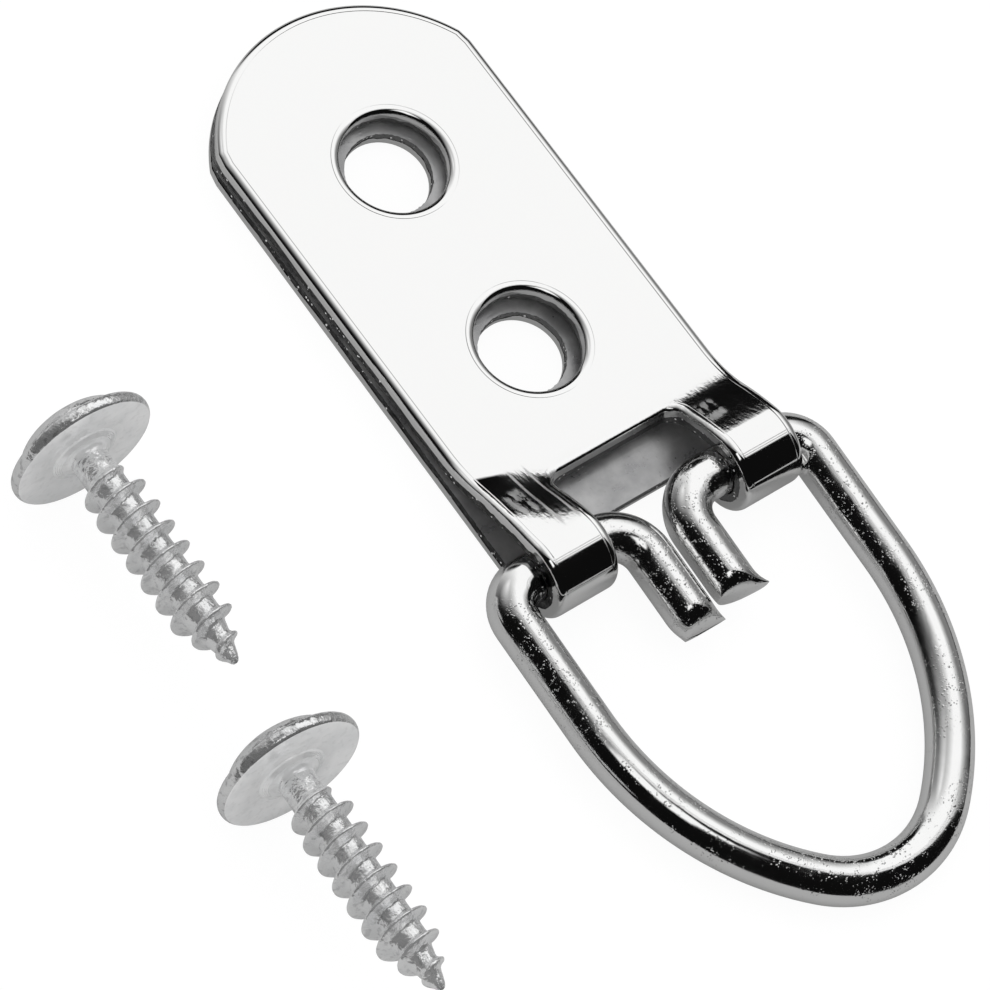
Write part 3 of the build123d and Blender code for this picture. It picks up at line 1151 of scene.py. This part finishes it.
def make_shank(builder):
    """The threaded shank, one strip that winds from the head to the point."""
    depths, heights, angles, per_turn = shank_points()
    depths_in = np.clip(depths, 0.0, screw_length)
    left = screw_length - depths_in
    taper = np.minimum(1, left / point_length)
    core = core_r * np.maximum(taper, 0) ** 0.35 * (0.68 + 0.32 * taper)
    core = core + fillet * np.clip(1 - depths_in / fillet, 0, 1) ** 2
    start_up = ease((depths_in - neck_length + 0.95) / 1.9)
    full = 0.15 + 0.85 * taper
    ridge = (crest_r - core_r) * heights * start_up * full * ease(left / 1.1)
    radius = np.maximum(core + ridge, 0.0)
    points = np.stack([radius * np.cos(angles), radius * np.sin(angles), -depths_in], -1)
    total, around = depths.shape
    grid = builder.add_points(points).reshape(total, around)
    wrapped = np.concatenate([grid, np.roll(grid[:, :1], per_turn, axis=0)], axis=1)
    place = np.concatenate([points, np.roll(points[:, :1], per_turn, axis=0)], axis=1)
    normals = grid_normals(place)
    faces = []
    corner_normals = []
    for row in range(per_turn, total - 1):
        for turn in range(around):
            steps = ((row, turn), (row + 1, turn), (row + 1, turn + 1), (row, turn + 1))
            if area_of([place[step] for step in steps]) < 1e-7:
                continue
            faces.append([wrapped[step] for step in steps])
            corner_normals.append([normals[step] for step in steps])
    builder.add_faces(faces, corner_normals)


def area_of(spots):
    first = spots[2] - spots[0]
    second = spots[3] - spots[1]
    return np.linalg.norm(np.cross(first, second)) / 2


def grid_normals(place):
    """Surface directions of a grid of points, from its neighbours."""
    down = np.gradient(place, axis=0)
    around_way = np.gradient(place, axis=1)
    ways = unit_rows(np.cross(around_way, down))
    outward = place.copy()
    outward[..., 2] = 0
    wrong = np.sum(ways * outward, axis=-1) < 0
    ways[wrong] *= -1
    return ways


# %% [markdown]
# The head is turned: a section spun round the axis. The cross recess is then cut with a tapered cross,
# using Blender's exact boolean, as a punch would form it.

# %% Head and recess
def head_section():
    """Half the head's outline: dome, flange, rim, underside with turned lines, and fillet."""
    outline = []
    dome_r = head_r * 0.77
    rim = 0.26
    rim_half = 0.42
    shoulder = 1.05
    for k in range(15):
        a = pi / 2 * k / 14
        outline.append((dome_r * sin(a), shoulder + (head_height - shoulder) * cos(a)))
    for k in range(1, 5):
        share = k / 4
        slope = (shoulder - 2 * rim_half) * share ** 0.8
        outline.append((dome_r + (head_r - rim - dome_r) * share, shoulder - slope))
    for k in range(1, 9):
        a = pi / 2 - pi * k / 8
        outline.append((head_r - rim + rim * cos(a), rim_half + rim_half * sin(a)))
    # turned lines: four in the flat underside, and four on the step round the shank
    for k in range(4):
        radius = 2.75 - 0.17 * k
        outline.append((radius, 0.0))
        outline.append((radius - 0.05, 0.02))
    for k in range(4):
        outline.append((2.05 - 0.11 * k, -0.05 - 0.05 * k))
        outline.append((2.00 - 0.11 * k, -0.02 - 0.05 * k))
    for k in range(7):
        a = pi / 2 * k / 6
        outline.append((core_r + 0.42 - 0.42 * sin(a), -0.20 - 0.42 * (1 - cos(a))))
    outline.append((core_r - 0.3, -0.75))
    return outline


def spin(name, outline, around=96):
    """A plain turned mesh from half an outline."""
    points = []
    faces = []
    for radius, height in outline:
        for turn in range(around):
            angle = 2 * pi * turn / around
            points.append((radius * cos(angle), radius * sin(angle), height))
    for row in range(len(outline) - 1):
        this, below = row * around, (row + 1) * around
        for turn in range(around):
            after = (turn + 1) % around
            faces.append((this + turn, below + turn, below + after, this + after))
    faces.append(tuple(reversed(range(len(points) - around, len(points)))))
    mesh = bpy.data.meshes.new(name)
    mesh.from_pydata(points, [], faces)
    return bpy.data.objects.new(name, mesh)


recess_depth = 1.6
punch_over = 0.6


def cross_punch():
    """A tapered cross that stands over the head, as two wedges."""
    points = []
    faces = []
    floor_z, top_z = head_height - recess_depth, head_height + punch_over
    for quarter in (0, pi / 2):
        for z, reach, wide in ((floor_z, 0.55, 0.30), (top_z, 2.25, 0.52)):
            for sx, sy in ((-1, -1), (1, -1), (1, 1), (-1, 1)):
                x, y = sx * reach, sy * wide
                points.append((x * cos(quarter) - y * sin(quarter), x * sin(quarter) + y * cos(quarter), z))
    for start in (0, 8):
        faces += [tuple(start + i for i in face) for face in
                  ((3, 2, 1, 0), (4, 5, 6, 7), (0, 1, 5, 4), (1, 2, 6, 5), (2, 3, 7, 6), (3, 0, 4, 7))]
    mesh = bpy.data.meshes.new("punch")
    mesh.from_pydata(points, [], faces)
    return bpy.data.objects.new("punch", mesh)


def punched_head():
    """The head's mesh with the cross cut into it."""
    head = spin("head_blank", head_section())
    punch = cross_punch()
    for piece in (head, punch):
        scene.collection.objects.link(piece)
    cut = head.modifiers.new("recess", "BOOLEAN")
    cut.operation = "DIFFERENCE"
    cut.solver = "EXACT"
    cut.use_self = True
    cut.object = punch
    view = bpy.context.evaluated_depsgraph_get()
    mesh = bpy.data.meshes.new_from_object(head.evaluated_get(view))
    for piece in (head, punch):
        bpy.data.objects.remove(piece)
    return mesh


head_mesh = punched_head()
print("head", len(head_mesh.polygons), "faces")

# %% [markdown]
# In the photograph both screws lie on the rim of the head with the point raised. We could model each one,
# but real ones come out of one machine: both are made from the same shank and head, and only lie differently.

# %% Lay the screws down
rim_height = 0.45
underside = 0.03
screw_spin = radians(-28)
shank_build = Builder()
make_shank(shank_build)
shank = shank_build.make("shank", [rolled_zinc])


def make_screw(name, node, x, y, turn, raised):
    """One screw, lying on the rim of its head with its point raised."""
    mesh = head_mesh.copy()
    mesh.name = name
    mesh.transform(Matrix.Scale(mm, 4))
    head = bpy.data.objects.new(name, mesh)
    scene.collection.objects.link(head)
    mesh.materials.clear()
    mesh.materials.append(flat_zinc)
    mesh.materials.append(rim_zinc)
    for face in mesh.polygons:
        face.material_index = int(face.center.z > underside * mm)
    mesh.polygons.foreach_set("use_smooth", [True] * len(mesh.polygons))
    mesh.set_sharp_from_angle(angle=radians(32))
    thread = shank.copy()
    thread.data = shank.data.copy()
    scene.collection.objects.link(thread)
    bpy.ops.object.select_all(action="DESELECT")
    head.select_set(True)
    thread.select_set(True)
    bpy.context.view_layer.objects.active = head
    bpy.ops.object.join()
    lift = (head_r * cos(raised) + rim_height * sin(raised)) * mm
    pose = (Matrix.Translation((x * mm, y * mm, lift)) @ Matrix.Rotation(turn, 4, "Z")
            @ Matrix.Rotation(-raised - pi / 2, 4, "Y") @ Matrix.Rotation(screw_spin, 4, "Z"))
    head.data.transform(pose)
    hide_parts(node)
    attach(head, node)
    return head


ring_left = ring_shift - leg_x - wire_r
upper_y = -0.6
lower_y = upper_y - screw_length - head_height - 4.25
screw_places = (
    ("screw_one", "screw_upper", ring_left - 15.7, upper_y, -92.8, 6.1),
    ("screw_two", "screw_lower", ring_left - 16.9, lower_y, -95.3, 9.5),
)
for name, node, x, y, turn, raised in screw_places:
    piece = make_screw(name, node, x, y, radians(turn), radians(raised))
    low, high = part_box(node)
    points = np.array([vertex.co for vertex in piece.data.vertices])
    print(node, "in the CAD model", [round(v / mm, 2) for v in (*low, *high)])
    print(node, "here", np.round(points.min(0) / mm, 2), np.round(points.max(0) / mm, 2))
bpy.data.objects.remove(shank)

# %% [markdown]
# ## Soft light
# The white room already lights the metal. A small hard lamp would throw dark shadows that the photograph
# doesn't have, so one wide lamp overhead gives the floor its soft shadow. The metal doesn't mirror it.

# %% Overhead lamp
lamp_side = 0.5
lamp_watts = 0.6
lamp_place = Vector((0.15, 0.25, 0.6))
lamp_data = bpy.data.lights.new("overhead", "AREA")
lamp_data.shape = "SQUARE"
lamp_data.size = lamp_side
lamp_data.energy = lamp_watts
lamp = bpy.data.objects.new("overhead", lamp_data)
lamp.location = lamp_place
lamp.rotation_euler = (-lamp_place).to_track_quat("-Z", "Y").to_euler()
scene.collection.objects.link(lamp)
lamp.visible_glossy = False
print("lamp energy", lamp_data.energy)
